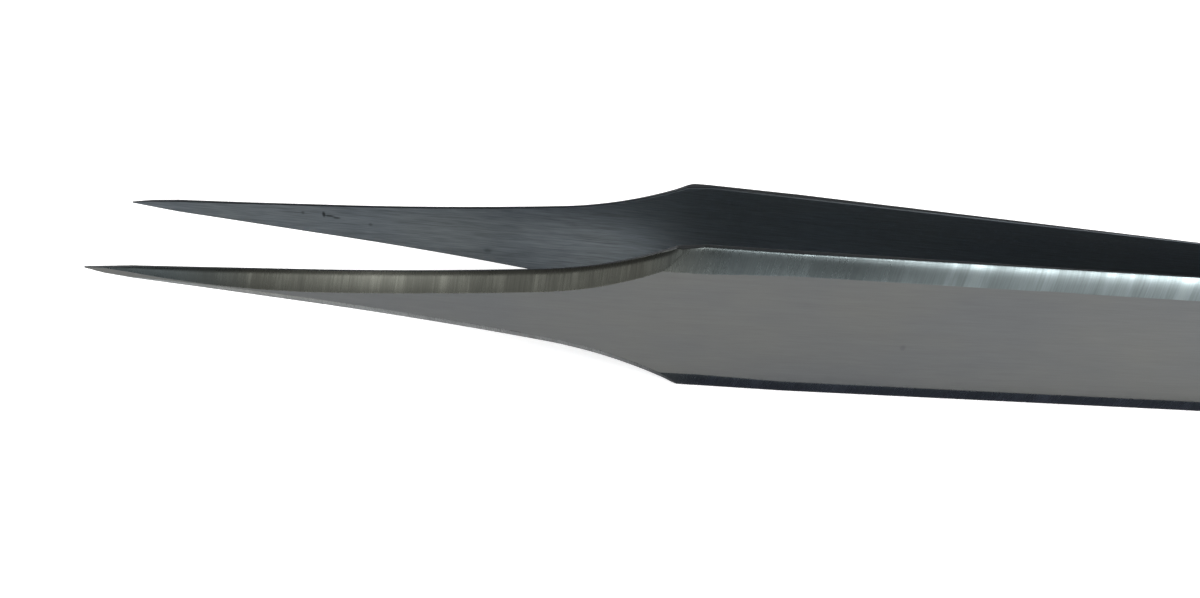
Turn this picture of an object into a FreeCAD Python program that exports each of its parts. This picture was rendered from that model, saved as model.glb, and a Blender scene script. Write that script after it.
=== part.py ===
import FreeCAD, Part
import math
import os

import Sketcher

Vector = FreeCAD.Vector

# Fine-point forceps: two mirror-image arms of spring steel, each forged and ground to a needle
# point, laid together and welded at the heel. Lengths are in millimetres and angles in degrees.
SIZES = {
    # Plan of an arm, seen along its width: the gap between the arms and the steel's thickness
    "overall_length": "110",
    "tip_gap": "7.3",
    "bend_from_tip": "32.4",
    "bend_gap": "6.5",
    "bend_reach": "4",
    "weld_bend_from_heel": "9.5",
    "weld_bend_reach": "2.5",
    "shank_thickness": "1.02",
    "spring_thickness": "0.7",
    "spring_start_from_tip": "66",
    "point_thickness": "0.1",
    "point_thinning_length": "15",
    # Outline of an arm, seen on its face: widths are full widths across the centre line
    "shoulder_from_tip": "37.5",
    "body_width": "10.08",
    "heel_width": "8.6",
    "heel_corner_radius": "3",
    "heel_edge_radius": "0.4",
    "shoulder_facet_length": "1.55",
    "neck_width": "9.74",
    "flare_length": "7.7",
    "flare_start_width": "5.2",
    "flare_radius": "25.2",
    "shank_curve_from_tip": "13",
    "shank_curve_width": "2.23",
    "shank_curve_radius": "260",
    "point_facet_length": "3.1",
    "point_facet_width": "0.82",
    "point_width": "0.06",
    # Ground faces: the bevel along each side of the shank and the rounded edge along the body
    "land_thickness": "0.25",
    "bevel_angle": "52",
    "bevel_runout": "4",
    "edge_round_width": "1.16",
    "edge_round_depth": "0.6",
    "edge_round_radius": "2",
    "shoulder_round_width": "1.4",
    "shoulder_round_depth": "0.72",
    "shoulder_round_radius": "2.4",
    "shoulder_round_reach": "5",
    "cutter_margin": "1",
}

doc = FreeCAD.newDocument("fine_point_forceps")


def size(name):
    return "sizes." + name


def add_sizes():
    sheet = doc.addObject("Spreadsheet::Sheet", "sizes")
    for row, (name, text) in enumerate(SIZES.items(), start=1):
        sheet.set("A%d" % row, name)
        sheet.set("B%d" % row, text)
        sheet.setAlias("B%d" % row, name)
    doc.recompute()
    return sheet


sheet = add_sizes()


def value(expression):
    """Return what an expression over the sizes comes to, as a plain number"""
    result = sheet.evalExpression(expression.replace("sizes.", ""))
    return float(getattr(result, "Value", result))


# Slopes of the inner face along the shank and along the body, and the body's taper per side
WELD_BEND_X = "(sizes.overall_length - sizes.weld_bend_from_heel)"
SHANK_SLOPE = "((sizes.tip_gap - sizes.bend_gap) / 2 / sizes.bend_from_tip)"
BODY_SLOPE = "(sizes.bend_gap / 2 / (%s - sizes.bend_from_tip))" % WELD_BEND_X
BODY_LENGTH = "(sizes.overall_length - sizes.shoulder_from_tip)"
TAPER = "((sizes.body_width - sizes.heel_width) / 2 / %s)" % BODY_LENGTH
BEND_END_X = "(sizes.bend_from_tip + sizes.bend_reach)"
THINNING_LENGTH = "(sizes.spring_start_from_tip - %s)" % BEND_END_X
THINNING = "((sizes.shank_thickness - sizes.spring_thickness) / %s)" % THINNING_LENGTH
NECK_X = "(sizes.shoulder_from_tip - sizes.shoulder_facet_length)"
FLARE_X = "(%s - sizes.flare_length)" % NECK_X
CLEAR_HEIGHT = "(sizes.body_width / 2 + sizes.cutter_margin)"


def shank_inner(x):
    return "(sizes.tip_gap / 2 - %s * %s)" % (SHANK_SLOPE, x)


def body_inner(x):
    return "(%s * (%s - %s))" % (BODY_SLOPE, WELD_BEND_X, x)


def thinning_outer(x):
    """Outer face between the bend and the thin spring"""
    return "(%s + sizes.shank_thickness - %s * (%s - %s))" % (body_inner(x), THINNING, x, BEND_END_X)


def body_half_width(x):
    return "(sizes.body_width / 2 - %s * (%s - sizes.shoulder_from_tip))" % (TAPER, x)


def arc_between(start, finish, radius, centre_left):
    """Return the arc of this radius from start to finish, and the ends that they lie at"""
    chord = finish - start
    left = Vector(-chord.y, chord.x, 0).normalize()
    rise = math.sqrt(radius ** 2 - (chord.Length / 2) ** 2)
    centre = start + chord / 2 + left * (rise if centre_left else -rise)
    ends = (start, finish) if centre_left else (finish, start)
    angles = [math.atan2(end.y - centre.y, end.x - centre.x) for end in ends]
    if angles[1] < angles[0]:
        angles[1] += 2 * math.pi
    arc = Part.ArcOfCircle(Part.Circle(centre, Vector(0, 0, 1), radius), angles[0], angles[1])
    return arc, (1, 2) if centre_left else (2, 1)


def bind(sketch, constraint, name, expression):
    index = sketch.addConstraint(constraint)
    sketch.renameConstraint(index, name)
    sketch.setExpression("Constraints." + name, expression)


def draw_loop(sketch, corners, arcs):
    """Draw a closed loop through corners (name, across, up); arcs maps a corner's name to the
    radius and side of the arc that leaves it, and every other stretch is a straight line"""
    names = [name for name, across, up in corners]
    points = [Vector(value(across), value(up), 0) for name, across, up in corners]
    stretches = []
    for index, name in enumerate(names):
        start = points[index]
        finish = points[(index + 1) % len(points)]
        if name in arcs:
            radius, centre_left = arcs[name]
            edge, ends = arc_between(start, finish, value(radius), centre_left)
            geometry = sketch.addGeometry(edge)
            constraint = Sketcher.Constraint("Radius", geometry, value(radius))
            bind(sketch, constraint, name + "_radius", radius)
        else:
            geometry = sketch.addGeometry(Part.LineSegment(start, finish))
            ends = (1, 2)
        stretches.append((geometry, ends))
    for index, (name, across, up) in enumerate(corners):
        geometry, ends = stretches[index]
        before, before_ends = stretches[index - 1]
        joined = Sketcher.Constraint("Coincident", before, before_ends[1], geometry, ends[0])
        sketch.addConstraint(joined)
        for kind, key, expression in (("DistanceX", "_x", across), ("DistanceY", "_y", up)):
            constraint = Sketcher.Constraint(kind, -1, 1, geometry, ends[0], value(expression))
            bind(sketch, constraint, name + key, expression)


def add_sketch(body, name, role):
    sketch = body.newObject("Sketcher::SketchObject", name)
    plane = [feature for feature in body.Origin.OriginFeatures if feature.Role == role][0]
    sketch.AttachmentSupport = [(plane, "")]
    sketch.MapMode = "FlatFace"
    return sketch


def checked_cut(body, feature):
    """Recompute and make sure that the cut took metal away"""
    before = feature.BaseFeature.Shape.Volume
    doc.recompute()
    if not feature.Shape.Volume < before - 1e-3:
        raise RuntimeError(feature.Name + " cut nothing")


def add_strip(body):
    """Bent and thinned strip: its plan, extruded across more than the arm's width"""
    bend_a = "(sizes.bend_from_tip - sizes.bend_reach)"
    weld_a = "(%s - sizes.weld_bend_reach)" % WELD_BEND_X
    weld_b = "(%s + sizes.weld_bend_reach)" % WELD_BEND_X
    thinning = "(sizes.shank_thickness - sizes.point_thickness)"
    bend_radius = "sizes.bend_reach / tan((atan(%s) - atan(%s)) / 2)" % (BODY_SLOPE, SHANK_SLOPE)
    weld_radius = "sizes.weld_bend_reach / tan(atan(%s) / 2)" % BODY_SLOPE
    point_radius = "(sizes.point_thinning_length ^ 2 + %s ^ 2) / (2 * %s)" % (thinning, thinning)
    corners = [
        ("inner_tip", "0", "sizes.tip_gap / 2"),
        ("inner_bend_a", bend_a, shank_inner(bend_a)),
        ("inner_bend_b", BEND_END_X, body_inner(BEND_END_X)),
        ("inner_weld_a", weld_a, body_inner(weld_a)),
        ("inner_weld_b", weld_b, "0"),
        ("inner_heel", "sizes.overall_length", "0"),
        ("heel_edge_a", "sizes.overall_length", "sizes.spring_thickness - sizes.heel_edge_radius"),
        ("heel_edge_b", "sizes.overall_length - sizes.heel_edge_radius", "sizes.spring_thickness"),
        ("outer_weld_b", weld_b, "sizes.spring_thickness"),
        ("outer_weld_a", weld_a, body_inner(weld_a) + " + sizes.spring_thickness"),
        ("spring_start", "sizes.spring_start_from_tip",
         body_inner("sizes.spring_start_from_tip") + " + sizes.spring_thickness"),
        ("outer_bend_b", BEND_END_X, thinning_outer(BEND_END_X)),
        ("outer_bend_a", bend_a, shank_inner(bend_a) + " + sizes.shank_thickness"),
        ("thinning_start", "sizes.point_thinning_length",
         shank_inner("sizes.point_thinning_length") + " + sizes.shank_thickness"),
        ("outer_tip", "0", "sizes.tip_gap / 2 + sizes.point_thickness"),
    ]
    arcs = {
        "inner_bend_a": (bend_radius, False),
        "inner_weld_a": (weld_radius, True),
        "heel_edge_a": ("sizes.heel_edge_radius", True),
        "outer_weld_b": (weld_radius, False),
        "outer_bend_b": (bend_radius, True),
        "thinning_start": (point_radius, True),
    }
    plan = add_sketch(body, "strip_plan", "XY_Plane")
    draw_loop(plan, corners, arcs)
    strip = body.newObject("PartDesign::Pad", "strip")
    strip.Profile = plan
    strip.SideType = "Symmetric"
    strip.setExpression("Length", "2 * " + CLEAR_HEIGHT)
    doc.recompute()
    return strip


def shank_edge():
    """Corners of the shank's upper edge from the point to the shoulder's facet"""
    widths = [
        ("point", "0", "point_width"),
        ("facet", "sizes.point_facet_length", "point_facet_width"),
        ("curve", "sizes.shank_curve_from_tip", "shank_curve_width"),
        ("flare", FLARE_X, "flare_start_width"),
        ("neck", NECK_X, "neck_width"),
    ]
    return [(name, x, "%s / 2" % size(width)) for name, x, width in widths]


SHANK_ARCS = {
    "curve": (size("shank_curve_radius"), True),
    "flare": (size("flare_radius"), True),
}


def add_outline(body):
    """Cut away what lies above the arm's upper edge, as blanking and grinding do"""
    heel_corner_x = "(sizes.overall_length - sizes.heel_corner_radius)"
    heel_corner_z = "(sizes.heel_width / 2 - sizes.heel_corner_radius)"
    clear_x = "sizes.overall_length + sizes.cutter_margin"
    clear_z = "%s + sizes.cutter_margin" % CLEAR_HEIGHT
    corners = [("start", "-sizes.cutter_margin", "sizes.point_width / 2")]
    corners += shank_edge()
    corners += [
        ("shoulder", "sizes.shoulder_from_tip", "sizes.body_width / 2"),
        ("heel_corner", heel_corner_x, body_half_width(heel_corner_x)),
        ("heel_end", "sizes.overall_length", heel_corner_z),
        ("heel_out", clear_x, heel_corner_z),
        ("heel_high", clear_x, clear_z),
        ("start_high", "-sizes.cutter_margin", clear_z),
    ]
    arcs = dict(SHANK_ARCS, heel_corner=(size("heel_corner_radius"), False))
    outline = add_sketch(body, "upper_outline", "XZ_Plane")
    draw_loop(outline, corners, arcs)
    cut = body.newObject("PartDesign::Pocket", "outline_cut")
    cut.Profile = outline
    cut.SideType = "Symmetric"
    cut.setExpression("Length", "2 * (sizes.tip_gap + sizes.cutter_margin)")
    checked_cut(body, cut)
    return cut


def add_edge_round(body):
    """Rounding along the body's upper outer edge, fuller at the shoulder: cut sections set along
    the bent outer face, each with the rounding's width, depth and radius there"""
    weld_a = "(%s - sizes.weld_bend_reach)" % WELD_BEND_X
    weld_b = "(%s + sizes.weld_bend_reach)" % WELD_BEND_X
    shoulder_x = size("shoulder_from_tip")
    settled_x = "(%s + sizes.shoulder_round_reach)" % shoulder_x
    spring_x = size("spring_start_from_tip")
    spring = " + sizes.spring_thickness"
    stations = [
        ("heel", "edge", "(sizes.overall_length + sizes.cutter_margin)", "sizes.spring_thickness"),
        ("weld_b", "edge", weld_b, "sizes.spring_thickness"),
        ("weld", "edge", WELD_BEND_X, "sizes.weld_bend_reach * %s / 4" % BODY_SLOPE + spring),
        ("weld_a", "edge", weld_a, body_inner(weld_a) + spring),
        ("spring", "edge", spring_x, body_inner(spring_x) + spring),
        ("settled", "edge", settled_x, thinning_outer(settled_x)),
        ("shoulder", "shoulder", shoulder_x, thinning_outer(shoulder_x)),
        ("bend_end", "shoulder", BEND_END_X, thinning_outer(BEND_END_X)),
        ("bend", "shoulder", size("bend_from_tip"), thinning_outer(size("bend_from_tip"))),
    ]
    sections = []
    for name, rounding, x, outer in stations:
        kinds = ("width", "depth", "radius")
        width, depth, radius = [size("%s_round_%s" % (rounding, kind)) for kind in kinds]
        section = add_sketch(body, "round_at_" + name, "YZ_Plane")
        section.setExpression("AttachmentOffset.Base.z", x)
        half_width = body_half_width(x)
        face_z = "%s - %s" % (half_width, width)
        side_y = "%s - %s" % (outer, depth)
        clear_y = "%s + sizes.cutter_margin" % outer
        clear_z = "%s + sizes.cutter_margin" % half_width
        corners = [
            ("face", outer, face_z),
            ("side", side_y, half_width),
            ("side_out", side_y, clear_z),
            ("corner_out", clear_y, clear_z),
            ("face_out", clear_y, face_z),
        ]
        draw_loop(section, corners, {"face": (radius, True)})
        sections.append(section)
    doc.recompute()
    cut = body.newObject("PartDesign::SubtractiveLoft", "edge_round")
    cut.Profile = sections[0]
    cut.Sections = sections[1:]
    cut.Ruled = True
    checked_cut(body, cut)
    return cut


def add_shank_bevel(body):
    """Flat bevel along the shank's upper side, ground from the land beside the inner face"""
    rise = "(sizes.neck_width - sizes.flare_start_width) / 2"
    chord_angle = "atan(%s / sizes.flare_length)" % rise
    half_turn = "asin(hypot(%s; sizes.flare_length) / (2 * sizes.flare_radius))" % rise
    runout_z = "sizes.neck_width / 2 + sizes.bevel_runout * tan(%s + %s)" % (chord_angle, half_turn)
    runout_x = NECK_X + " + sizes.bevel_runout"
    clear_z = "%s + sizes.bevel_runout" % CLEAR_HEIGHT
    corners = [("start", "-sizes.cutter_margin", "sizes.point_width / 2")]
    corners += shank_edge()
    corners += [
        ("runout", runout_x, runout_z),
        ("runout_out", runout_x, clear_z),
        ("start_out", "-sizes.cutter_margin", clear_z),
    ]
    profile = add_sketch(body, "bevel_profile", "XZ_Plane")
    tilt = value("atan(%s)" % SHANK_SLOPE)
    profile.AttachmentOffset = FreeCAD.Placement(Vector(), FreeCAD.Rotation(Vector(0, 1, 0), -tilt))
    profile.setExpression("AttachmentOffset.Rotation.Angle", "-atan(%s)" % SHANK_SLOPE)
    profile.setExpression("AttachmentOffset.Base.z", "-(sizes.tip_gap / 2 + sizes.land_thickness)")
    draw_loop(profile, corners, SHANK_ARCS)
    doc.recompute()
    cut = body.newObject("PartDesign::Pocket", "shank_bevel")
    cut.Profile = profile
    cut.UseCustomVector = True
    cut.Direction = Vector(0, 1, -1)
    cut.setExpression("Direction.x", "sin(atan(%s))" % SHANK_SLOPE)
    cut.setExpression("Direction.y", "cos(atan(%s))" % SHANK_SLOPE)
    cut.setExpression("Direction.z", "-tan(sizes.bevel_angle)")
    cut.setExpression("Length", "sizes.shank_thickness + sizes.cutter_margin")
    checked_cut(body, cut)
    return cut


def add_right_arm():
    body = doc.addObject("PartDesign::Body", "right_arm")
    body.Label = "right_arm"
    add_strip(body)
    upper_cuts = [add_outline(body), add_edge_round(body), add_shank_bevel(body)]
    mirrored = body.newObject("PartDesign::Mirrored", "lower_edge_cuts")
    mirrored.Originals = upper_cuts
    plane = [feature for feature in body.Origin.OriginFeatures if feature.Role == "XY_Plane"][0]
    mirrored.MirrorPlane = (plane, [""])
    body.Tip = mirrored
    doc.recompute()
    # The body's tapering lower edge is laid level on the surface, mid-length over the origin
    lean = "atan(%s)" % TAPER
    place = FreeCAD.Rotation(Vector(0, 1, 0), value(lean))
    body.Placement = FreeCAD.Placement(Vector(), place)
    body.setExpression("Placement.Rotation.Angle", lean)
    body.setExpression("Placement.Base.x", "-sizes.overall_length / 2 * cos(%s)" % lean)
    height = "sizes.body_width / 2 * cos(%s) + sizes.shoulder_from_tip * sin(%s)" % (lean, lean)
    body.setExpression("Placement.Base.z", height)
    doc.recompute()
    return body


def add_left_arm(right_arm):
    left_arm = doc.addObject("Part::Mirroring", "left_arm")
    left_arm.Label = "left_arm"
    left_arm.Source = right_arm
    left_arm.Base = Vector(0, 0, 0)
    left_arm.Normal = Vector(0, 1, 0)
    doc.recompute()
    return left_arm


right_arm = add_right_arm()
sub_parts = [right_arm, add_left_arm(right_arm)]

for item in doc.Objects:
    if "Invalid" in item.State or "Error" in item.State:
        raise RuntimeError(item.Name + " failed to build")
for item in sub_parts:
    if item.Shape.isNull() or not item.Shape.isValid():
        raise RuntimeError(item.Label + " has no valid shape")

os.makedirs("parts", exist_ok=True)
for item in sub_parts:
    item.Shape.exportStep("parts/%s.step" % item.Label)
    print(item.Label, "solids", len(item.Shape.Solids), "volume %.2f mm3" % item.Shape.Volume)
    print("  box", item.Shape.BoundBox)
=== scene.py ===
import math

import bmesh
import bpy
from mathutils import Matrix, Vector


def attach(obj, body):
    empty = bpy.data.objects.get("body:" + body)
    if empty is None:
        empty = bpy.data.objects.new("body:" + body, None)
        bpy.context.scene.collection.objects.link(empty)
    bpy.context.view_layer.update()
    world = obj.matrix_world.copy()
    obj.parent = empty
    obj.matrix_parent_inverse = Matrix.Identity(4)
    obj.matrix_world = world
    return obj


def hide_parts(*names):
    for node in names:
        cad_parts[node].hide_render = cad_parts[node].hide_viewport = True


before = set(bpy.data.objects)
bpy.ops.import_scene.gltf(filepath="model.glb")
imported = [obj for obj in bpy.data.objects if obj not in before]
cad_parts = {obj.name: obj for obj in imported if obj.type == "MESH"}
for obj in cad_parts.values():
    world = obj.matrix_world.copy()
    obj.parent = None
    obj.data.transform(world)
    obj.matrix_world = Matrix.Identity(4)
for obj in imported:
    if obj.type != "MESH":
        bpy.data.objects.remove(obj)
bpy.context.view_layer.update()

bl_info = {
    "name": "Fine-point forceps",
    "version": (1, 0, 0),
    "blender": (4, 5, 0),
    "location": "View3D > Sidebar > Forceps",
    "description": "Finishes the two ground steel arms of fine-point forceps and sets the studio",
    "category": "Object",
}

MM = 0.001


def length_of(name, description, millimetres):
    return bpy.props.FloatProperty(
        name=name, description=description, default=millimetres * MM, unit="LENGTH", precision=5
    )


def angle_of(name, description, degrees):
    return bpy.props.FloatProperty(
        name=name, description=description, default=math.radians(degrees), subtype="ANGLE"
    )


def share_of(name, description, share):
    return bpy.props.FloatProperty(
        name=name, description=description, default=share, min=0, subtype="FACTOR"
    )


def colour_of(name, description, red, green, blue):
    return bpy.props.FloatVectorProperty(
        name=name, description=description, subtype="COLOR", default=(red, green, blue), min=0, max=1
    )


class ForcepsSizes(bpy.types.PropertyGroup):
    """Driving dimensions of an arm, from the point to the heel"""

    overall_length: length_of("Overall length", "From the point to the heel", 110)
    tip_gap: length_of("Tip gap", "Between the inner faces at the points", 7.3)
    bend_from_tip: length_of("Bend from tip", "Where the shank leaves the body's slope", 32.4)
    bend_gap: length_of("Bend gap", "Between the inner faces at the bend", 6.5)
    bend_reach: length_of("Bend reach", "Of the bend's arc on either side", 4)
    weld_bend_from_heel: length_of("Weld bend from heel", "Where the arms come together", 9.5)
    weld_bend_reach: length_of("Weld bend reach", "Of that bend's arc on either side", 2.5)
    shank_thickness: length_of("Shank thickness", "Of the steel in the shank", 1.02)
    spring_thickness: length_of("Spring thickness", "Of the steel in the spring", 0.7)
    spring_start_from_tip: length_of("Spring start", "Where the steel is thinned down", 66)
    point_thickness: length_of("Point thickness", "Of the steel at the point", 0.1)
    point_thinning_length: length_of("Point thinning", "Length ground down to the point", 15)
    shoulder_from_tip: length_of("Shoulder from tip", "Where the body is widest", 37.5)
    body_width: length_of("Body width", "Across the shoulder", 10.08)
    heel_width: length_of("Heel width", "Across the heel", 8.6)
    heel_corner_radius: length_of("Heel corner", "Radius of the heel's outline", 3)
    heel_edge_radius: length_of("Heel edge", "Radius of the heel's outer edge", 0.4)
    shoulder_facet_length: length_of("Shoulder facet", "Length of the small facet", 1.55)
    neck_width: length_of("Neck width", "Where the facet meets the flare", 9.74)
    flare_length: length_of("Flare length", "Of the hollow arc to the neck", 7.7)
    flare_start_width: length_of("Flare start width", "Where the flare starts", 5.2)
    flare_radius: length_of("Flare radius", "Of the hollow arc", 25.2)
    shank_curve_from_tip: length_of("Shank curve start", "Where the shank starts to widen", 13)
    shank_curve_width: length_of("Shank curve width", "Across the shank there", 2.23)
    shank_curve_radius: length_of("Shank curve radius", "Of the shank's slow curve", 260)
    point_facet_length: length_of("Point facet length", "Of the last, steepest taper", 3.1)
    point_facet_width: length_of("Point facet width", "Across the shank there", 0.82)
    point_width: length_of("Point width", "Across the point", 0.06)
    land_thickness: length_of("Land thickness", "Left beside the inner face", 0.25)
    bevel_angle: angle_of("Bevel angle", "Between the bevel and the side of the shank", 52)
    edge_round_width: length_of("Edge width", "Of the rounding on the body's face", 1.16)
    edge_round_depth: length_of("Edge depth", "Of the rounding on the body's side", 0.6)
    shoulder_round_width: length_of("Shoulder edge width", "Of the rounding there", 1.4)
    shoulder_round_depth: length_of("Shoulder edge depth", "Of the rounding there", 0.72)
    shoulder_round_reach: length_of("Shoulder edge reach", "Over which it settles", 5)
    edge_start_angle: angle_of("Edge start angle", "Turn of the rounding where it leaves the face", 17)
    edge_end_angle: angle_of("Edge end angle", "Turn of the rounding where it meets the side", 68)
    spring_edge_end_angle: angle_of("Spring edge end angle", "The same where the spring starts", 47)
    inner_break: length_of("Inner break", "Width taken off the edges of the inner face", 0.1)
    edge_break: length_of("Edge break", "Width taken off each other sharp edge", 0.04)
    bevel_crown: length_of("Bevel crown", "How far the polished bevel swells in its middle", 0.02)
    bevel_roll_width: length_of("Bevel roll width", "Where the bevel rolls over to the side", 0.25)
    bevel_roll_depth: length_of("Bevel roll depth", "Taken off the side by that roll", 0.1)


class ForcepsFinish(bpy.types.PropertyGroup):
    """Colours and grain of the ground and brushed steel, and the shares of painted light and shade on it
    """

    outer_colour: colour_of("Outer face", "Satin steel", 0.159, 0.164, 0.162)
    bevel_colour: colour_of("Bevel", "Steel ground warm along the shank", 0.138, 0.141, 0.122)
    edge_colour: colour_of("Rounded edge", "Steel ground cool along the body", 0.130, 0.154, 0.158)
    side_colour: colour_of("Side", "Steel of the thin sides", 0.105, 0.113, 0.120)
    inner_colour: colour_of("Inner face", "Brushed steel between the arms", 0.112, 0.127, 0.137)
    satin_roughness: share_of("Satin roughness", "Of the brushed faces", 0.36)
    ground_roughness: share_of("Ground roughness", "Of the bevels and rounded edges", 0.28)
    spring_roughness: share_of("Spring roughness", "Of the upper edges along the spring", 0.44)
    satin_variation: share_of("Satin variation", "Of the roughness of the brushed faces", 0.05)
    ground_variation: share_of("Ground variation", "Of the roughness of the ground edges", 0.07)
    brushing_length: length_of("Brushing length", "Of one brushed line", 1.5)
    brushing_width: length_of("Brushing width", "Of one brushed line", 0.06)
    grinding_length: length_of("Grinding length", "Of one mark of the wheel", 2.2)
    grinding_width: length_of("Grinding width", "Of one mark of the wheel", 0.10)
    line_depth: length_of("Line depth", "Of brushed lines and wheel marks", 0.0012)
    # Painted light: shares by which the colour is lightened or darkened to stand in for highlights and
    # shade
    front_edge_light: share_of("Front edge light", "On the broken edges turned forwards", 0.2)
    rear_edge_light: share_of("Rear edge light", "On the broken edges turned backwards", 2)
    face_light: share_of("Face light", "On a ground edge beside the outer face", 0.9)
    side_light: share_of("Side light", "On a ground edge beside the side", 0.75)
    lower_body_light: share_of("Lower body light", "On the body's lower edge", 1.35)
    lower_shank_light: share_of("Lower shank light", "On the shank's lower bevel", 0.32)
    spring_face_light: share_of("Spring face light", "On the spring's edge beside its face", 1.6)
    spring_side_light: share_of("Spring side light", "On the spring's edge beside its side", 1.9)


class ForcepsStudio(bpy.types.PropertyGroup):
    """Camera, room and floor"""

    azimuth: angle_of("Azimuth", "Turn of the camera about the vertical", 7.81)
    elevation: angle_of("Elevation", "Height of the camera over the horizon", 36.15)
    distance: length_of("Distance", "From the camera to the point that it looks at", 88.1)
    target_x: length_of("Target X", "Where along the forceps the camera looks", -23.9)
    target_z: length_of("Target Z", "How high the camera looks", 3.4)
    lens: bpy.props.FloatProperty(
        name="Lens", description="Focal length on a 36 mm wide sensor", default=43.14, unit="CAMERA"
    )
    floor_size: length_of("Floor size", "Side of the square floor", 2400)
    floor_white: share_of("Floor white", "Diffuse reflectance of the floor", 0.8)
    camera_glow: share_of("Camera glow", "White added to the floor for the camera", 0.7)
    mirror_glow: share_of("Mirror glow", "White added to the floor in the steel", 0.1)
    room_wall: share_of("Room wall", "Light of the room round the forceps", 0.6)
    room_ceiling: share_of("Room ceiling", "Light of the room overhead", 0.12)
    wall_top: share_of("Wall top", "Rise to where the room starts to darken", 0.2)
    ceiling_edge: share_of("Ceiling edge", "Rise to where the room is darkest", 0.58)


def two_slopes(x, corner_x, height, before, after, reach):
    """Height at x of two straight stretches that meet in a rounded corner"""
    slope = before if x < corner_x else after
    rise = (after - before) * max(reach - abs(x - corner_x), 0) ** 2 / (4 * reach)
    return height + slope * (x - corner_x) + rise


def arc_centre(start, finish, radius):
    """Centre of the arc through two points that hollows towards its left"""
    chord = finish - start
    rise = math.sqrt(radius ** 2 - chord.length_squared / 4)
    return (start + finish) / 2 + Vector((-chord.y, chord.x)).normalized() * rise


def ramp(x, start, finish):
    """Height at x on the straight line through two points"""
    return start.y + (finish.y - start.y) * (x - start.x) / (finish.x - start.x)


def solve(function, low, high):
    """Where a function that changes sign between low and high is nought"""
    rising = function(high) > function(low)
    for halving in range(50):
        middle = (low + high) / 2
        if (function(middle) < 0) == rising:
            low = middle
        else:
            high = middle
    return (low + high) / 2


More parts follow.
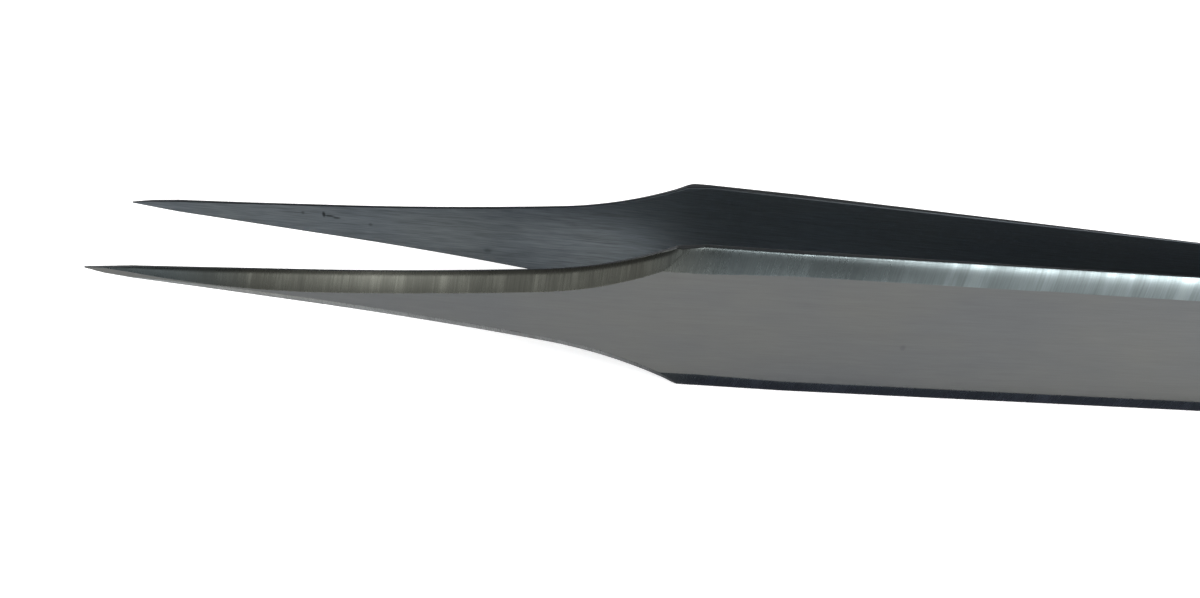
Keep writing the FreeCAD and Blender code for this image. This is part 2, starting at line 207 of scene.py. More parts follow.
class ArmForm:
    """Plan, outline and ground surfaces of an arm in its own frame: x runs from the point to the
    heel, y away from the other arm and z across the arm's width"""

    def __init__(self, sizes):
        self.sizes = sizes
        self.weld_x = sizes.overall_length - sizes.weld_bend_from_heel
        self.bend_end_x = sizes.bend_from_tip + sizes.bend_reach
        self.shank_slope = (sizes.bend_gap - sizes.tip_gap) / 2 / sizes.bend_from_tip
        self.body_slope = -sizes.bend_gap / 2 / (self.weld_x - sizes.bend_from_tip)
        thinning_length = sizes.spring_start_from_tip - self.bend_end_x
        self.thinning = (sizes.shank_thickness - sizes.spring_thickness) / thinning_length
        body_length = sizes.overall_length - sizes.shoulder_from_tip
        self.taper = (sizes.body_width - sizes.heel_width) / 2 / body_length
        self.neck = Vector((sizes.shoulder_from_tip - sizes.shoulder_facet_length, sizes.neck_width / 2))
        self.flare = Vector((self.neck.x - sizes.flare_length, sizes.flare_start_width / 2))
        self.curve = Vector((sizes.shank_curve_from_tip, sizes.shank_curve_width / 2))
        self.facet = Vector((sizes.point_facet_length, sizes.point_facet_width / 2))
        self.point = Vector((0, sizes.point_width / 2))
        self.shoulder = Vector((sizes.shoulder_from_tip, sizes.body_width / 2))
        self.curve_centre = arc_centre(self.curve, self.flare, sizes.shank_curve_radius)
        self.flare_centre = arc_centre(self.flare, self.neck, sizes.flare_radius)
        self.bevel_rise = math.tan(sizes.bevel_angle)
        self.ridge_start = solve(
            lambda x: self.bevel_face_z(x) - self.round_face_z(x), self.flare.x, self.shoulder.x
        )
        self.ridge_end = solve(
            lambda x: self.side_after(self.bevel_y, x) - self.side_after(self.round_y, x),
            self.ridge_start, self.shoulder.x + sizes.shoulder_facet_length,
        )

    def inner(self, x):
        sizes = self.sizes
        if x < sizes.spring_start_from_tip:
            return two_slopes(
                x, sizes.bend_from_tip, sizes.bend_gap / 2, self.shank_slope, self.body_slope,
                sizes.bend_reach,
            )
        return two_slopes(x, self.weld_x, 0, self.body_slope, 0, sizes.weld_bend_reach)

    def thickness(self, x):
        sizes = self.sizes
        if x < sizes.point_thinning_length:
            share = 1 - x / sizes.point_thinning_length
            return sizes.shank_thickness - (sizes.shank_thickness - sizes.point_thickness) * share ** 2
        thinned = sizes.shank_thickness - self.thinning * max(x - self.bend_end_x, 0)
        radius = sizes.heel_edge_radius
        past = max(x - (sizes.overall_length - radius), 0)
        return max(thinned, sizes.spring_thickness) - radius + math.sqrt(max(radius ** 2 - past ** 2, 0))

    def outer(self, x):
        return self.inner(x) + self.thickness(x)

    def body_half_width(self, x):
        return self.shoulder.y - self.taper * (x - self.shoulder.x)

    def half_width(self, x):
        """Half of the arm's width in its outline"""
        sizes = self.sizes
        if x < self.facet.x:
            return ramp(x, self.point, self.facet)
        if x < self.curve.x:
            return ramp(x, self.facet, self.curve)
        if x < self.neck.x:
            return self.bevel_edge(x)
        if x < self.shoulder.x:
            return ramp(x, self.neck, self.shoulder)
        radius = sizes.heel_corner_radius
        corner_x = sizes.overall_length - radius
        past = max(x - corner_x, 0)
        rounded_off = radius - math.sqrt(max(radius ** 2 - past ** 2, 0))
        return self.body_half_width(min(x, corner_x)) - rounded_off

    def bevel_edge(self, x):
        """Outline that the bevel follows, which runs out straight past the neck"""
        if x < self.curve.x:
            return self.half_width(x)
        if x < self.flare.x:
            centre, radius = self.curve_centre, self.sizes.shank_curve_radius
        else:
            centre, radius = self.flare_centre, self.sizes.flare_radius
        if x < self.neck.x:
            return centre.y - math.sqrt(radius ** 2 - (x - centre.x) ** 2)
        slope = (self.neck.x - centre.x) / (centre.y - self.neck.y)
        return self.neck.y + slope * (x - self.neck.x)

    def land(self, x):
        """Plane in which the bevel leaves the side"""
        sizes = self.sizes
        return sizes.tip_gap / 2 + self.shank_slope * x + sizes.land_thickness

    def bevel_y(self, x, z):
        return self.land(x) + (self.bevel_edge(x) - z) / self.bevel_rise

    def bevel_face_z(self, x):
        """Where the bevel meets the outer face"""
        return self.bevel_edge(x) - (self.outer(x) - self.land(x)) * self.bevel_rise

    def rounding(self, x):
        """Width and depth of the body's rounded edge"""
        sizes = self.sizes
        share = min(max((x - sizes.shoulder_from_tip) / sizes.shoulder_round_reach, 0), 1)
        edge = Vector((sizes.edge_round_width, sizes.edge_round_depth))
        full = Vector((sizes.shoulder_round_width, sizes.shoulder_round_depth))
        return full.lerp(edge, share)

    def round_face_z(self, x):
        """Where the rounded edge meets the outer face"""
        return self.body_half_width(x) - self.rounding(x).x

    def round_bend(self, x):
        """Where the lines that the rounded edge starts and ends with meet"""
        sizes = self.sizes
        width, depth = self.rounding(x)
        settled = sizes.shoulder_from_tip + sizes.shoulder_round_reach
        share = min(max((x - settled) / (sizes.spring_start_from_tip - settled), 0), 1)
        turned = sizes.edge_end_angle + (sizes.spring_edge_end_angle - sizes.edge_end_angle) * share
        first = math.tan(sizes.edge_start_angle)
        last = math.tan(turned)
        along = (last * width - depth) / (last - first)
        return Vector((along, first * along))

    def round_share(self, x, z):
        """How much of the rounded edge lies below z"""
        bend = self.round_bend(x).x
        beyond = 2 * bend - self.rounding(x).x
        above = max(z - self.round_face_z(x), 0)
        return (bend - math.sqrt(max(bend ** 2 - beyond * above, 0))) / beyond

    def round_spot(self, x, share):
        """Point (y, z) at a share of the rounded edge, nearly flat at first and then ever tighter"""
        across, inwards = self.round_bend(x) * (2 * share * (1 - share)) + self.rounding(x) * share ** 2
        return Vector((self.outer(x) - inwards, self.round_face_z(x) + across))

    def round_y(self, x, z):
        return self.round_spot(x, self.round_share(x, z)).x

    def side_after(self, ground, x):
        """How far out the side reaches once a surface is ground"""
        return ground(x, self.half_width(x))

    def ridge_z(self, x):
        """Where the bevel cuts into the rounded edge"""
        return solve(
            lambda z: self.bevel_y(x, z) - self.round_y(x, z), self.round_face_z(x), self.half_width(x)
        )


FACE_CELLS = 1       # of the outer face, from its middle to its edge
EDGE_CELLS = 12      # of the ground edge, from the outer face to the side
SIDE_CELLS = 1
INNER_CELLS = 6
HEEL_RINGS = 12      # of the mesh round the heel's corner
FACE_STRIP = 0.015 * MM   # least half width of the outer face, where the bevels nearly meet
FACE_LIMIT = 0.9     # of the arm's half width, which the outer face may take
LEAST_ROUND = 0.01   # share of the rounded edge that is still drawn as a curve
ROLL_SHARE = 1 / 3   # of a narrow bevel's height, which its roll may take
BREAK_SHARE = 0.45   # of the room beside a sharp edge, which its break may take

# Places round a section, which starts at the middle of the inner face
LOWER_INNER = INNER_CELLS // 2
LOWER_SIDE = LOWER_INNER + SIDE_CELLS
LOWER_FACE = LOWER_SIDE + EDGE_CELLS
UPPER_FACE = LOWER_FACE + 2 * FACE_CELLS
UPPER_SIDE = UPPER_FACE + EDGE_CELLS
UPPER_INNER = UPPER_SIDE + SIDE_CELLS
AROUND = UPPER_INNER + INNER_CELLS // 2

OUTER_ZONE, BEVEL_ZONE, ROUND_ZONE, SIDE_ZONE, INNER_ZONE = range(5)


def shares(count):
    return [step / count for step in range(1, count + 1)]


def polished_off(form, share, height):
    """What polishing takes off a bevel at a share of its height: it swells a little in the middle
    and rolls over to the side"""
    sizes = form.sizes
    crown = 4 * sizes.bevel_crown * share * (1 - share)
    reach = min(sizes.bevel_roll_width, height * ROLL_SHARE)
    depth = sizes.bevel_roll_depth * reach / sizes.bevel_roll_width
    roll = depth * max(1 - (1 - share) * height / reach, 0) ** 2
    return roll - crown * reach / sizes.bevel_roll_width


def upper_half(form, x, bevel_cells):
    """Points (y, z) of the upper half of a section, from the middle of the outer face over the
    ground edge and the side to the middle of the inner face"""
    outer = form.outer(x)
    inner = form.inner(x)
    edge_z = form.half_width(x)
    round_cells = EDGE_CELLS - bevel_cells
    face_z = form.round_face_z(x) if round_cells else form.bevel_face_z(x)
    face_z = min(max(face_z, FACE_STRIP), FACE_LIMIT * edge_z)
    ridge_z = edge_z
    if round_cells == 0:
        ridge_z = face_z
    elif bevel_cells:
        ridge_z = form.ridge_z(x)
    points = [Vector((outer, face_z * share)) for share in [0] + shares(FACE_CELLS)]
    if round_cells:
        highest = form.round_share(x, ridge_z)
        for share in shares(round_cells):
            if highest > LEAST_ROUND:
                points.append(form.round_spot(x, highest * share))
            else:
                points.append(Vector((outer, face_z + (edge_z - face_z) * share)))
    for share in shares(bevel_cells):
        z = ridge_z + (edge_z - ridge_z) * share
        highlight_share = polished_off(form, share, edge_z - ridge_z) * bevel_cells / EDGE_CELLS
        points.append(Vector((min(form.bevel_y(x, z) - highlight_share, outer), z)))
    side = points[-1]
    points += [side.lerp(Vector((inner, edge_z)), share) for share in shares(SIDE_CELLS)]
    corner = points[-1]
    points += [corner.lerp(Vector((inner, 0)), share) for share in shares(INNER_CELLS // 2)]
    return points


def section(form, x, bevel_cells):
    """Points round a section, from the middle of the inner face over the lower edge"""
    upper = upper_half(form, x, bevel_cells)
    lower = [Vector((point.x, -point.y)) for point in reversed(upper)]
    return lower[:-1] + upper[:-1]


def spread(start, finish, step):
    """Stations after start up to finish, about a step apart"""
    count = max(round((finish - start) / step), 1)
    return [start + (finish - start) * share for share in shares(count)]


def stations(form):
    """Where the rings of the mesh lie, each with the cells of its ground edge that are bevel. Each
    stretch is given by where it ends and the step between its rings"""
    sizes = form.sizes
    heel_corner_x = sizes.overall_length - sizes.heel_corner_radius
    places = [0]
    for finish, step in (
        (form.facet.x, 0.3 * MM),
        (form.curve.x, 0.4 * MM),
        (sizes.point_thinning_length, 0.5 * MM),
        (sizes.bend_from_tip - sizes.bend_reach, 0.7 * MM),
        (form.ridge_start, 0.3 * MM),
    ):
        places += spread(places[-1], finish, step)
    rings = [(x, EDGE_CELLS) for x in places]
    ridge_length = form.ridge_end - form.ridge_start
    shoulder = [form.ridge_start + ridge_length * share for share in shares(EDGE_CELLS)]
    for corner in (form.neck.x, form.shoulder.x):
        if corner < form.ridge_end:
            nearest = min(range(EDGE_CELLS), key=lambda place: abs(shoulder[place] - corner))
            shoulder[nearest] = corner
    rings += [(x, EDGE_CELLS - cell) for cell, x in enumerate(shoulder, start=1)]
    places = [form.ridge_end]
    for finish, step in (
        (sizes.shoulder_from_tip, 0.2 * MM),
        (sizes.shoulder_from_tip + sizes.shoulder_round_reach, 0.5 * MM),
        (sizes.spring_start_from_tip, 2 * MM),
        (form.weld_x - sizes.weld_bend_reach, 2 * MM),
        (form.weld_x + sizes.weld_bend_reach, 0.3 * MM),
        (heel_corner_x, 0.8 * MM),
    ):
        if finish > places[-1]:
            places += spread(places[-1], finish, step)
    for share in shares(HEEL_RINGS):
        places.append(heel_corner_x + sizes.heel_corner_radius * math.sin(share * math.pi / 2))
    rings += [(x, 0) for x in places[1:]]
    return rings


def only(piece):
    """Make a piece the active and only selected one"""
    bpy.ops.object.select_all(action="DESELECT")
    piece.select_set(True)
    bpy.context.view_layer.objects.active = piece


def add_blank(form, rings):
    """A round bar, extruded from a disc by one ring after another"""
    sizes = form.sizes
    bpy.ops.object.select_all(action="DESELECT")
    bpy.ops.mesh.primitive_circle_add(
        vertices=AROUND, radius=sizes.body_width / 2, fill_type="NGON", rotation=(0, math.pi / 2, 0)
    )
    blank = bpy.context.active_object
    bpy.ops.object.transform_apply(location=True, rotation=True, scale=True)
    bpy.ops.object.mode_set(mode="EDIT")
    bpy.ops.mesh.select_mode(type="FACE")
    bpy.ops.mesh.select_all(action="SELECT")
    step = sizes.overall_length / (len(rings) - 1)
    for ring in rings[1:]:
        bpy.ops.mesh.extrude_region_move(TRANSFORM_OT_translate={"value": (step, 0, 0)})
    return blank


def grid_of(mesh, form, rings):
    """Vertices of the blank by ring and by place round the section"""
    grid = {}
    for vertex in mesh.verts:
        ring = round(vertex.co.x / form.sizes.overall_length * (len(rings) - 1))
        turn = math.atan2(vertex.co.z, vertex.co.y) / (2 * math.pi)
        place = round((turn + 0.5) * AROUND) % AROUND
        grid[ring, place] = vertex
    return grid


def ridge_places(rings):
    """Places of the shoulder's ridge, upper and lower, on each ring that it crosses"""
    found = []
    for ring, (x, bevel_cells) in enumerate(rings):
        crossed = 0 < bevel_cells < EDGE_CELLS
        starts = bevel_cells == EDGE_CELLS and rings[ring + 1][1] < EDGE_CELLS
        ends = bevel_cells == 0 and rings[ring - 1][1] > 0
        if crossed or starts or ends:
            found.append((ring, UPPER_SIDE - bevel_cells, LOWER_SIDE + bevel_cells))
    return found


def crease_chains(rings):
    """Runs of (ring, place) along each sharp edge of the arm"""
    last = len(rings) - 1
    chains = []
    for place in (LOWER_INNER, LOWER_SIDE, LOWER_FACE, UPPER_FACE, UPPER_SIDE, UPPER_INNER):
        chains.append([(ring, place) for ring in range(last + 1)])
    ridge = ridge_places(rings)
    chains.append([(ring, upper) for ring, upper, lower in ridge])
    chains.append([(ring, lower) for ring, upper, lower in ridge])
    for ring in (0, last):
        chains.append([(ring, place % AROUND) for place in range(AROUND + 1)])
    return chains


def room_beside(grid, spot):
    """Least distance from a vertex to its neighbours round the section"""
    ring, place = spot
    beside = [grid[ring, (place + step) % AROUND] for step in (-1, 1)]
    return min((grid[spot].co - vertex.co).length for vertex in beside)


def shape_blank(blank, form, rings):
    """Draw the blank's rings down to the arm's sections, and mark its edges and zones"""
    mesh = bmesh.from_edit_mesh(blank.data)
    grid = grid_of(mesh, form, rings)
    points = {}
    for ring, (x, bevel_cells) in enumerate(rings):
        for place, point in enumerate(section(form, x, bevel_cells)):
            grid[ring, place].co = (x, point.x, point.y)
            points[grid[ring, place]] = (ring, place)
    lengthwise = mesh.loops.layers.uv.verify()
    for face in mesh.faces:
        spots = [points[loop.vert] for loop in face.loops]
        wraps = max(place for ring, place in spots) - min(place for ring, place in spots) > AROUND / 2
        for loop, (ring, place) in zip(face.loops, spots):
            past = place + AROUND if wraps and place == 0 else place
            loop[lengthwise].uv = (loop.vert.co.x / form.sizes.overall_length, past / AROUND)
    bpy.ops.mesh.select_mode(type="VERT")
    bpy.ops.mesh.select_all(action="DESELECT")
    for ring, upper, lower in ridge_places(rings):
        grid[ring, upper].select_set(True)
        grid[ring, lower].select_set(True)
    bmesh.update_edit_mesh(blank.data)
    bpy.ops.mesh.vert_connect()
    mesh = bmesh.from_edit_mesh(blank.data)
    mesh.verts.ensure_lookup_table()
    weights = mesh.edges.layers.float.new("bevel_weight_edge")
    sizes = form.sizes
    inner_places = (LOWER_INNER, UPPER_INNER)
    for chain in crease_chains(rings):
        for start, finish in zip(chain, chain[1:]):
            edge = mesh.edges.get((grid[start], grid[finish]))
            if edge is None:
                continue  # the ridge's last cell is too thin to be split
            room = BREAK_SHARE * min(room_beside(grid, start), room_beside(grid, finish))
            wanted = sizes.inner_break if start[1] in inner_places else sizes.edge_break
            edge[weights] = min(wanted, room) / sizes.inner_break
    for face in mesh.faces:
        face.material_index = zone_of([points[vertex] for vertex in face.verts], rings)
        face.smooth = True
    bmesh.update_edit_mesh(blank.data)
    bpy.ops.object.mode_set(mode="OBJECT")


def zone_of(spots, rings):
    """Zone of a face of the mesh, from the rings and places of its corners"""
    ring_span = [ring for ring, place in spots]
    if min(ring_span) == max(ring_span):
        return SIDE_ZONE
    places = [place for ring, place in spots]
    low, high = min(places), max(places)
    if high - low > AROUND / 2 or high <= LOWER_INNER or low >= UPPER_INNER:
        return INNER_ZONE
    if high <= LOWER_SIDE or low >= UPPER_SIDE:
        return SIDE_ZONE
    if low >= LOWER_FACE and high <= UPPER_FACE:
        return OUTER_ZONE
    if low >= UPPER_FACE:
        on_bevel = all(place >= UPPER_SIDE - rings[ring][1] for ring, place in spots)
    else:
        on_bevel = all(place <= LOWER_SIDE + rings[ring][1] for ring, place in spots)
    return BEVEL_ZONE if on_bevel else ROUND_ZONE


def break_edges(arm, width):
    """Take the sharpness off the marked edges"""
    only(arm)
    bevel = arm.modifiers.new("edge_break", "BEVEL")
    bevel.limit_method = "WEIGHT"
    bevel.width = width
    bevel.segments = 3
    bevel.use_clamp_overlap = False
    bevel.harden_normals = True
    bpy.ops.object.modifier_apply(modifier="edge_break")


def lay_down(arm, form):
    """Turn the arm so that its body's lower edge is level, and centre it over the origin"""
    lean = math.atan(form.taper)
    height = form.shoulder.y * math.cos(lean) + form.shoulder.x * math.sin(lean)
    place = Matrix.Translation((-form.sizes.overall_length / 2 * math.cos(lean), 0, height))
    arm.data.transform(place @ Matrix.Rotation(lean, 4, "Y"))


def add_right_arm(form, finish):
    rings = stations(form)
    arm = add_blank(form, rings)
    arm.name = "right_arm_steel"
    arm.data.name = "right_arm_steel"
    for material in steel_finishes(finish):
        arm.data.materials.append(material)
    shape_blank(arm, form, rings)
    break_edges(arm, form.sizes.inner_break)
    lay_down(arm, form)
    return arm


def add_left_arm(right_arm):
    only(right_arm)
    bpy.ops.object.duplicate()
    arm = bpy.context.active_object
    arm.name = "left_arm_steel"
    arm.data.name = "left_arm_steel"
    arm.data.transform(Matrix.Scale(-1, 4, (0, 1, 0)))
    bpy.ops.object.mode_set(mode="EDIT")
    bpy.ops.mesh.select_all(action="SELECT")
    bpy.ops.mesh.flip_normals()
    bpy.ops.object.mode_set(mode="OBJECT")
    return arm


class Nodes:
    """Adds nodes to one node tree"""

    def __init__(self, tree):
        self.tree = tree

    def join(self, node, inputs):
        """Link each input to a socket or set its value"""
        for name, value in inputs.items():
            if isinstance(value, bpy.types.NodeSocket):
                self.tree.links.new(value, node.inputs[name])
            else:
                node.inputs[name].default_value = value

    def add(self, kind, inputs, **settings):
        node = self.tree.nodes.new(kind)
        for name, value in settings.items():
            setattr(node, name, value)
        self.join(node, inputs)
        return node

    def coordinates(self):
        return self.add("ShaderNodeTexCoord", {}).outputs

    def parts(self, vector):
        node = self.add("ShaderNodeSeparateXYZ", {"Vector": vector})
        return node.outputs["X"], node.outputs["Y"], node.outputs["Z"]

    def graded(self, value, low, high, start=0.0, finish=1.0, easing="LINEAR"):
        """What goes from start to finish as the value goes from low to high"""
        ends = {"From Min": low, "From Max": high, "To Min": start, "To Max": finish}
        node = self.add("ShaderNodeMapRange", {"Value": value, **ends}, interpolation_type=easing)
        return node.outputs["Result"]

    def maths(self, operation, *values):
        node = self.add("ShaderNodeMath", dict(enumerate(values)), operation=operation)
        return node.outputs["Value"]

    def product(self, shares):
        result = shares[0]
        for share in shares[1:]:
            result = self.maths("MULTIPLY", result, share)
        return result

    def blend(self, first, second, share):
        """First share of one noise with the rest of another"""
        rest = self.maths("MULTIPLY", second, 1 - share)
        return self.maths("ADD", self.maths("MULTIPLY", first, share), rest)


NOISE = (0.3, 0.7)           # what nearly all of a noise lies between
NOISE_CORE = (0.35, 0.65)    # what most of it lies between
WHEEL_LINES = (0.32, 0.68)   # the noise from dark to light marks of the wheel
WHEEL_BANDS = (0.56, 0.70)   # the noise where bands of these marks catch the light
THROUGH = 10 * MM            # size of a noise through an arm, over which it hardly changes
CLOUD = (9 * MM, 9 * MM, 5 * MM)
CLOUD_LIGHT = (0.96, 1.04)
PATCH_LIGHT = (0.92, 1.08)
COOL = Vector((0.99, 1, 1.03))
WARM = Vector((1.01, 1, 0.98))
TURNED = (-0.2, 0.2)         # lean of a broken edge from forwards to backwards
MARK_FADE = (0.4, 1.1)       # half sizes from a small mark's centre over which it fades
EDGE_BAND = (0.03, 0.38)     # of a ground edge in the UV map, from the outer face to the side
FACE_BAND = (0.03, 0.2)      # the half of it beside the outer face
FACE_HIGHLIGHT_SHARE = 0.15             # share of a bevel's painted highlight that reaches the outer face

# Where along the arm, or up its height, the finish and the painted light of the ground edges change, and
# where the painted highlight on the shank's bevel peaks and how far it reaches
POINT_TO_SHANK = (-50 * MM, -44 * MM)
SHANK_TO_BODY = (-21 * MM, -16 * MM)
BODY_TO_SPRING = (-9 * MM, 2 * MM)
LOWER_TO_UPPER = (4.4 * MM, 5.2 * MM)
HIGHLIGHT_PEAK_AT = -37 * MM
HIGHLIGHT_PEAK_REACH = 12 * MM


class Steel(Nodes):
    """Nodes of one steel surface"""

    def __init__(self, name):
        self.material = bpy.data.materials.new(name)
        self.material.use_nodes = True
        super().__init__(self.material.node_tree)
        coordinates = self.coordinates()
        self.place = coordinates["Object"]
        self.along, _, self.height = self.parts(self.place)
        self.rearward, upward = self.parts(coordinates["Normal"])[1:]
        self.upward = self.maths("ABSOLUTE", upward)
        around = self.parts(coordinates["UV"])[1]
        self.across = self.maths("ABSOLUTE", self.maths("SUBTRACT", around, 0.5))

    def noise(self, size, turn=(0, 0, 0), detail=2.0, shift=(0, 0, 0)):
        """Noise whose patches have the size given along x, y and z"""
        place = {"Vector": self.place, "Location": shift, "Rotation": turn, "Scale": size}
        mapping = self.add("ShaderNodeMapping", place, vector_type="TEXTURE")
        noise = {"Vector": mapping.outputs["Vector"], "Scale": 1, "Detail": detail}
        return self.add("ShaderNodeTexNoise", noise).outputs["Fac"]

    def mix(self, share, first, second):
        """One colour turning into another"""
        node = self.add("ShaderNodeMix", {"Factor": share}, data_type="VECTOR")
        ends = [socket for socket in node.inputs if socket.type == "VECTOR" and socket.name in "AB"]
        for socket, colour in zip(ends, (first, second)):
            socket.default_value = tuple(colour)
        return [socket for socket in node.outputs if socket.type == "VECTOR"][0]

    def spot(self, centre, size, strength):
        """Light left by a small mark, given by its centre and half sizes in mm"""
        off = self.add(
            "ShaderNodeVectorMath", {0: self.place, 1: Vector(centre) * MM}, operation="SUBTRACT"
        )
        scaled = self.add(
            "ShaderNodeVectorMath", {0: off.outputs["Vector"], 1: Vector(size) * MM}, operation="DIVIDE"
        )
        reach = self.add("ShaderNodeVectorMath", {0: scaled.outputs["Vector"]}, operation="LENGTH")
        return self.graded(reach.outputs["Value"], *MARK_FADE, 1 - strength, 1)

    def finish(self, colour, light, roughness, height, depth):
        shade = self.add("ShaderNodeVectorMath", {0: colour, "Scale": light}, operation="SCALE")
        bump = self.add("ShaderNodeBump", {"Height": height, "Distance": depth, "Strength": 1.0})
        self.join(self.tree.nodes["Principled BSDF"], {
            "Base Color": shade.outputs["Vector"], "Metallic": 1, "Roughness": roughness,
            "Normal": bump.outputs["Normal"],
        })
        return self.material


def brushed_steel(name, colour, finish, contrast, marks=(), edge=None, heelward=None):
    """Satin steel with fine lines along the arm, faint clouds and small dark marks. The edge gives
    the upward leans between which a broken edge gets painted light, a painted highlight where it
    turns backwards and painted shade where it turns forwards, and heelward the stretch in mm over
    which a painted light along the arm changes, and its factor there"""
    steel = Steel(name)
    length, width = finish.brushing_length, finish.brushing_width
    fine = steel.noise((length, THROUGH, width), detail=4)
    broad = steel.noise((4 * length, THROUGH, 5 * width), detail=3, shift=(7 * MM, 0, 0))
    cloud = steel.noise(CLOUD, detail=3)
    lines = steel.blend(fine, broad, 0.65)
    lights = [
        steel.graded(lines, *NOISE, 1 - contrast, 1 + contrast),
        steel.graded(cloud, *NOISE, *CLOUD_LIGHT),
    ]
    if edge:
        # Painted highlight on broken edges turned backwards, painted shade on those turned forwards
        edge_light = steel.graded(
            steel.rearward, *TURNED, finish.front_edge_light, finish.rear_edge_light
        )
        lights.append(steel.graded(steel.upward, *edge, 1, edge_light))
    if heelward:
        # Painted light that changes along the arm
        start, stop, factor = heelward
        lights.append(steel.graded(steel.along, start * MM, stop * MM, 1, factor))
    lights += [steel.spot(centre, size, strength) for centre, size, strength in marks]
    tint = steel.mix(steel.graded(cloud, *NOISE_CORE), Vector(colour) * COOL, Vector(colour) * WARM)
    least = finish.satin_roughness - finish.satin_variation
    most = finish.satin_roughness + finish.satin_variation
    rough = steel.graded(lines, *NOISE, most, least)
    return steel.finish(tint, steel.product(lights), rough, lines, finish.line_depth)


def ground_steel(name, finish, contrast, slant, painted_highlight=0.0):
    """Steel with the fine marks of a grinding wheel across the edge, in lighter and darker bands.
    It is warm along the upper shank and cool elsewhere, and duller along the spring's upper edge.
    Its colour carries painted light: a painted highlight halfway along the shank and along the
    spring's upper edge, painted shade towards the side, painted light on the body's lower edge and
    painted shade on the shank's lower bevel"""
    steel = Steel(name)
    length, width = finish.grinding_length, finish.grinding_width
    turn = (0, slant, 0)
    fine = steel.noise((width, length, length), turn, detail=3)
    bands = steel.noise((8 * width, 3 * length, 3 * length), turn, detail=2)
    patches = steel.noise((30 * width, 5 * length, 5 * length), detail=1, shift=(3 * MM, 0, 0))
    lines = steel.blend(fine, bands, 0.5)
    off_point = steel.graded(steel.along, *POINT_TO_SHANK)
    on_shank = steel.graded(steel.along, *SHANK_TO_BODY, 1, 0)
    on_top = steel.graded(steel.height, *LOWER_TO_UPPER)
    springward = steel.product([on_top, steel.graded(steel.along, *BODY_TO_SPRING)])
    warmth = steel.product([on_shank, on_top, off_point])
    tint = steel.mix(warmth, finish.edge_colour, finish.bevel_colour)
    # Painted highlight peaking halfway along the shank, on top of painted shade that darkens the ground
    # edge from the outer face towards the side
    from_highlight_peak = steel.maths("ABSOLUTE", steel.maths("SUBTRACT", steel.along, HIGHLIGHT_PEAK_AT))
    highlight_share = steel.maths("POWER", steel.graded(from_highlight_peak, 0, HIGHLIGHT_PEAK_REACH, 1, 0), 2)
    by_face = steel.graded(highlight_share, 0, 1, finish.face_light, finish.face_light + FACE_HIGHLIGHT_SHARE * painted_highlight)
    by_side = steel.graded(highlight_share, 0, 1, finish.side_light, finish.side_light + painted_highlight)
    # Painted light on the body's lower edge and painted shade on the shank's lower bevel
    below = steel.graded(on_shank, 0, 1, finish.lower_body_light, finish.lower_shank_light)
    # Painted highlight along the spring's upper edge, stronger towards the side
    spring_light = steel.graded(
        steel.across, *FACE_BAND, finish.spring_face_light, finish.spring_side_light
    )
    line_light = steel.graded(lines, *WHEEL_LINES, 1 - contrast, 1 + contrast)
    band_light = steel.graded(bands, *WHEEL_BANDS, 1, 1 + contrast)
    light = steel.product([
        steel.graded(off_point, 0, 1, 1, line_light),
        steel.graded(off_point, 0, 1, 1, band_light),
        steel.graded(patches, *NOISE_CORE, *PATCH_LIGHT),
        steel.graded(steel.across, *EDGE_BAND, by_face, by_side),
        steel.graded(on_top, 0, 1, below, 1),
        steel.graded(springward, 0, 1, 1, spring_light),
    ])
    roughness = steel.graded(springward, 0, 1, finish.ground_roughness, finish.spring_roughness)
    variation = steel.graded(lines, *NOISE, finish.ground_variation, -finish.ground_variation)
    rough = steel.maths("ADD", variation, roughness)
    return steel.finish(tint, light, rough, lines, finish.line_depth)


# Centre, half sizes and strength of each small dark mark, in mm
OUTER_MARKS = (((-5.8, -3.3, 4.1), (0.20, 1, 0.25), 0.14),)
INNER_MARKS = (
    ((-42.12, 3.5, 5.74), (0.13, 1, 0.24), 0.75),
    ((-41.75, 3.5, 5.66), (0.40, 1, 0.09), 0.7),
    ((-41.30, 3.5, 5.55), (0.30, 1, 0.08), 0.65),
    ((-43.90, 3.5, 5.72), (1.40, 1, 0.04), 0.35),
    ((-43.50, 3.5, 5.74), (0.14, 1, 0.14), 0.35),
    ((-39.10, 3.5, 5.25), (0.16, 1, 0.14), 0.3),
    ((-40.60, 3.5, 5.15), (0.80, 1, 0.05), 0.3),
    ((-31.55, 3.4, 4.00), (0.32, 1, 0.22), 0.3),
)


def steel_finishes(finish):
    """One finish for each zone of an arm"""
    # The outer face gets painted light towards the heel; the side and inner faces get painted light on
    # their broken edges, and the inner face a painted lightening over the body
    return [
        brushed_steel(
            "outer_face", finish.outer_colour, finish, contrast=0.05, marks=OUTER_MARKS,
            heelward=(-10, 10, 1.12),
        ),
        ground_steel("shank_bevel", finish, contrast=0.20, slant=math.radians(4), painted_highlight=1.7),
        ground_steel("rounded_edge", finish, contrast=0.22, slant=math.radians(14)),
        brushed_steel("side_edge", finish.side_colour, finish, contrast=0.10, edge=(0.97, 0.6)),
        brushed_steel(
            "inner_face", finish.inner_colour, finish, contrast=0.28, marks=INNER_MARKS,
            edge=(0.15, 0.6), heelward=(-30, -12, 2.3),
        ),
    ]


class FORCEPS_OT_arms(bpy.types.Operator):
    """Finish both arms"""

    bl_idname = "forceps.arms"
    bl_label = "Arms"

    def execute(self, context):
        form = ArmForm(context.scene.forceps_sizes)
        right_arm = add_right_arm(form, context.scene.forceps_finish)
        left_arm = add_left_arm(right_arm)
        for arm, node in ((right_arm, "right_arm"), (left_arm, "left_arm")):
            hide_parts(node)
            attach(arm, "root")
        return {"FINISHED"}


# The line that each arm's body follows over the floor, and how the painted contact shade on the floor
# fades beside it
ARM_LINE_SLOPE = -0.0478
ARM_LINE_MIDDLE = 2.75 * MM
CONTACT_FADE = (0.7 * MM, 1.9 * MM)
BODY_TO_SHANK = (-17 * MM, -24 * MM)
PAINTED_CONTACT_SHADE = (0.10, 0.10, 0.13, 1)


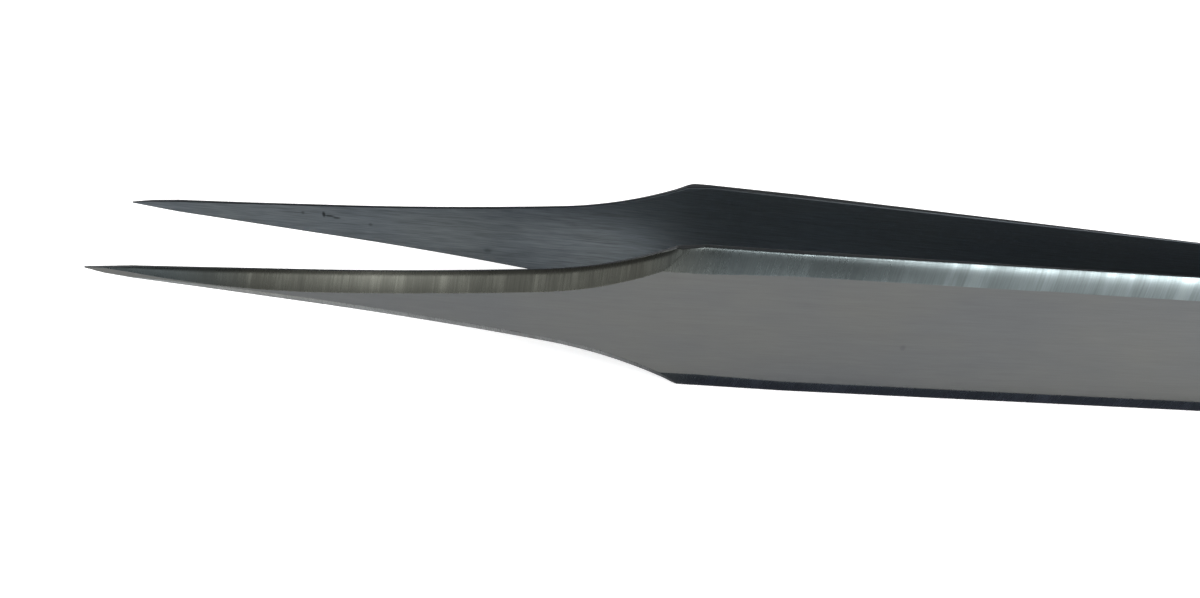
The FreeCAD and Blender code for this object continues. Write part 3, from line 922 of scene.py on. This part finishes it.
def shade_contact(nodes, surface, mirrored):
    """Paint shade on the paper close under the arms, seen only where the steel mirrors it: a dark sheet
    that stands in for the contact shadow
    """
    along, across = nodes.parts(nodes.coordinates()["Object"])[:2]
    arm_line = nodes.maths("MULTIPLY_ADD", along, ARM_LINE_SLOPE, ARM_LINE_MIDDLE)
    aside = nodes.maths("SUBTRACT", nodes.maths("ABSOLUTE", across), arm_line)
    beside = nodes.graded(nodes.maths("ABSOLUTE", aside), *CONTACT_FADE, 1, 0, "SMOOTHSTEP")
    under_body = nodes.graded(along, *BODY_TO_SHANK, 1, 0, "SMOOTHSTEP")
    dark = nodes.add("ShaderNodeBsdfDiffuse", {"Color": PAINTED_CONTACT_SHADE})
    share = nodes.product([beside, under_body, mirrored])
    shaders = {0: share, 1: surface.outputs["BSDF"], 2: dark.outputs["BSDF"]}
    paper = nodes.add("ShaderNodeMixShader", shaders)
    nodes.join(nodes.tree.nodes["Material Output"], {"Surface": paper.outputs["Shader"]})


def add_floor(studio):
    """White paper that stays white for the camera and for the steel, save a painted shade close under
    the arms that only the steel mirrors, and keeps a soft shadow
    """
    bpy.ops.mesh.primitive_plane_add(size=studio.floor_size, location=(0, 0, 0))
    floor = bpy.context.active_object
    floor.name = "floor"
    material = bpy.data.materials.new("floor_paper")
    material.use_nodes = True
    nodes = Nodes(material.node_tree)
    path = nodes.add("ShaderNodeLightPath", {}).outputs
    seen = nodes.maths("MULTIPLY", path["Is Camera Ray"], studio.camera_glow)
    glow = nodes.maths("MULTIPLY_ADD", path["Is Glossy Ray"], studio.mirror_glow, seen)
    surface = nodes.tree.nodes["Principled BSDF"]
    nodes.join(surface, {
        "Base Color": (studio.floor_white,) * 3 + (1,), "Roughness": 0.9, "Specular IOR Level": 0.1,
        "Emission Color": (1, 1, 1, 1), "Emission Strength": glow,
    })
    shade_contact(nodes, surface, path["Is Glossy Ray"])
    floor.data.materials.append(material)


def add_world(studio):
    """A room that darkens towards its ceiling, white where the camera sees it"""
    world = bpy.data.worlds.new("studio")
    world.use_nodes = True
    nodes = Nodes(world.node_tree)
    height = nodes.parts(nodes.coordinates()["Generated"])[2]
    room = nodes.graded(
        height, studio.wall_top, studio.ceiling_edge, studio.room_wall, studio.room_ceiling, "SMOOTHSTEP"
    )
    path = nodes.add("ShaderNodeLightPath", {}).outputs
    seen = nodes.add("ShaderNodeMix", {"Factor": path["Is Camera Ray"], "A": room, "B": 1})
    nodes.join(nodes.tree.nodes["Background"], {
        "Color": (1, 1, 1, 1), "Strength": seen.outputs["Result"],
    })
    bpy.context.scene.world = world


# Name, place and size in metres, and power of each softbox
LAMPS = (
    ("right_softbox", (0.53, -0.55, 0.64), (0.26, 0.50), 8.1),
    ("front_softbox", (0.38, -0.71, 0.59), (0.26, 0.26), 1.5),
    ("upper_softbox", (0.21, -0.39, 0.90), (0.26, 0.26), 2.2),
    ("left_softbox", (-0.37, -0.63, 0.68), (0.50, 0.40), 0.5),
    ("rear_softbox", (0.68, 0.42, 0.60), (0.40, 0.30), 1.6),
    ("rear_left_softbox", (-0.72, 0.40, 0.57), (0.40, 0.30), 1.0),
)


def add_lamp(name, place, size, energy):
    """A softbox that faces the forceps"""
    data = bpy.data.lights.new(name, "AREA")
    data.shape = "RECTANGLE"
    data.size, data.size_y = size
    data.energy = energy
    lamp = bpy.data.objects.new(name, data)
    bpy.context.scene.collection.objects.link(lamp)
    lamp.location = place
    lamp.visible_camera = False
    lamp.rotation_mode = "QUATERNION"
    lamp.rotation_quaternion = (-Vector(place)).to_track_quat("-Z", "Y")


def add_camera(studio):
    data = bpy.data.cameras.new("camera")
    data.lens = studio.lens
    data.sensor_width = 36
    data.clip_start = MM
    data.clip_end = 10
    camera = bpy.data.objects.new("camera", data)
    bpy.context.scene.collection.objects.link(camera)
    level = math.cos(studio.elevation)
    back = Vector((
        math.sin(studio.azimuth) * level, -math.cos(studio.azimuth) * level, math.sin(studio.elevation)
    ))
    camera.location = Vector((studio.target_x, 0, studio.target_z)) + back * studio.distance
    camera.rotation_mode = "QUATERNION"
    camera.rotation_quaternion = (-back).to_track_quat("-Z", "Y")
    bpy.context.scene.camera = camera


class FORCEPS_OT_stage(bpy.types.Operator):
    """Set up the floor, world, lamps and camera"""

    bl_idname = "forceps.stage"
    bl_label = "Stage"

    def execute(self, context):
        studio = context.scene.forceps_studio
        add_floor(studio)
        add_world(studio)
        for name, place, size, energy in LAMPS:
            add_lamp(name, place, size, energy)
        add_camera(studio)
        context.scene.view_settings.view_transform = "Standard"
        return {"FINISHED"}


class FORCEPS_PT_panel(bpy.types.Panel):
    bl_label = "Forceps"
    bl_space_type = "VIEW_3D"
    bl_region_type = "UI"
    bl_category = "Forceps"

    def draw(self, context):
        for operator in (FORCEPS_OT_arms, FORCEPS_OT_stage):
            self.layout.operator(operator.bl_idname)


CLASSES = (
    ForcepsSizes, ForcepsFinish, ForcepsStudio, FORCEPS_OT_arms, FORCEPS_OT_stage, FORCEPS_PT_panel
)


def register():
    for each in CLASSES:
        bpy.utils.register_class(each)
    bpy.types.Scene.forceps_sizes = bpy.props.PointerProperty(type=ForcepsSizes)
    bpy.types.Scene.forceps_finish = bpy.props.PointerProperty(type=ForcepsFinish)
    bpy.types.Scene.forceps_studio = bpy.props.PointerProperty(type=ForcepsStudio)


def unregister():
    del bpy.types.Scene.forceps_studio
    del bpy.types.Scene.forceps_finish
    del bpy.types.Scene.forceps_sizes
    for each in reversed(CLASSES):
        bpy.utils.unregister_class(each)


def main():
    register()
    bpy.ops.forceps.arms()
    bpy.ops.forceps.stage()


if __name__ == "__main__":
    main()
